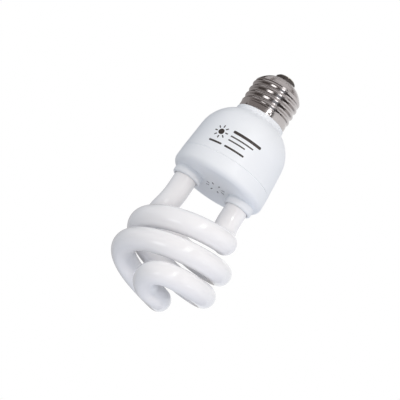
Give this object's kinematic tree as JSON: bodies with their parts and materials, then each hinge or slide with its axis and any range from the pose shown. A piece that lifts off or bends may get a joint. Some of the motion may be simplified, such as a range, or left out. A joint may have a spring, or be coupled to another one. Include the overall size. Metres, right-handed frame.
{
  "type": "reptile ultraviolet bulb",
  "caption": "Self-ballasted compact fluorescent ultraviolet lamp: white half-spiral discharge tube, two-part plastic housing with its ballast, and an E27 screw cap.",
  "frame": {"origin": "middle of the centre contact's outer face, where the lamp meets the holder's contact", "axes": "+Z along the lamp's axis towards the cap, so the lamp hangs below the origin; the tube's two legs stand on the X axis"},
  "size_m": [0.0586, 0.0586, 0.1349],
  "materials": {
    "coated_glass": "smooth, white powder coating inside",
    "cement": "matt",
    "housing_plastic": "moulded, satin",
    "nickel": "nickel-plated, rolled",
    "black_glass": "glossy",
    "contact_metal": "tinned",
    "board_laminate": "matt",
    "tinned_wire": "tinned",
    "capacitor_sleeve": "shrink sleeve",
    "ferrite": "matt",
    "bobbin_plastic": "moulded",
    "enamelled_copper": "enamelled",
    "black_epoxy": "moulded",
    "film_lacquer": "dipped",
    "resistor_ceramic": "lacquered"
  },
  "bodies": {
    "root": {"discharge_tube": "coated_glass", "leg_cement": "cement", "tube_plate": "housing_plastic", "upper_housing": "housing_plastic", "cap_shell": "nickel", "cap_insulator": "black_glass", "centre_contact": "contact_metal", "ballast_board": "board_laminate", "filament_leads": "tinned_wire", "wrap_pins": "tinned_wire", "smoothing_capacitor": "capacitor_sleeve", "choke_core": "ferrite", "choke_bobbin": "bobbin_plastic", "choke_winding": "enamelled_copper", "drive_toroid": "ferrite", "transistors": "black_epoxy", "rectifier_diodes": "black_epoxy", "resonant_capacitor": "film_lacquer", "starting_capacitor": "film_lacquer", "fuse_resistor": "resistor_ceramic", "live_lead": "tinned_wire", "neutral_lead": "tinned_wire"}
  },
  "joints": []
}
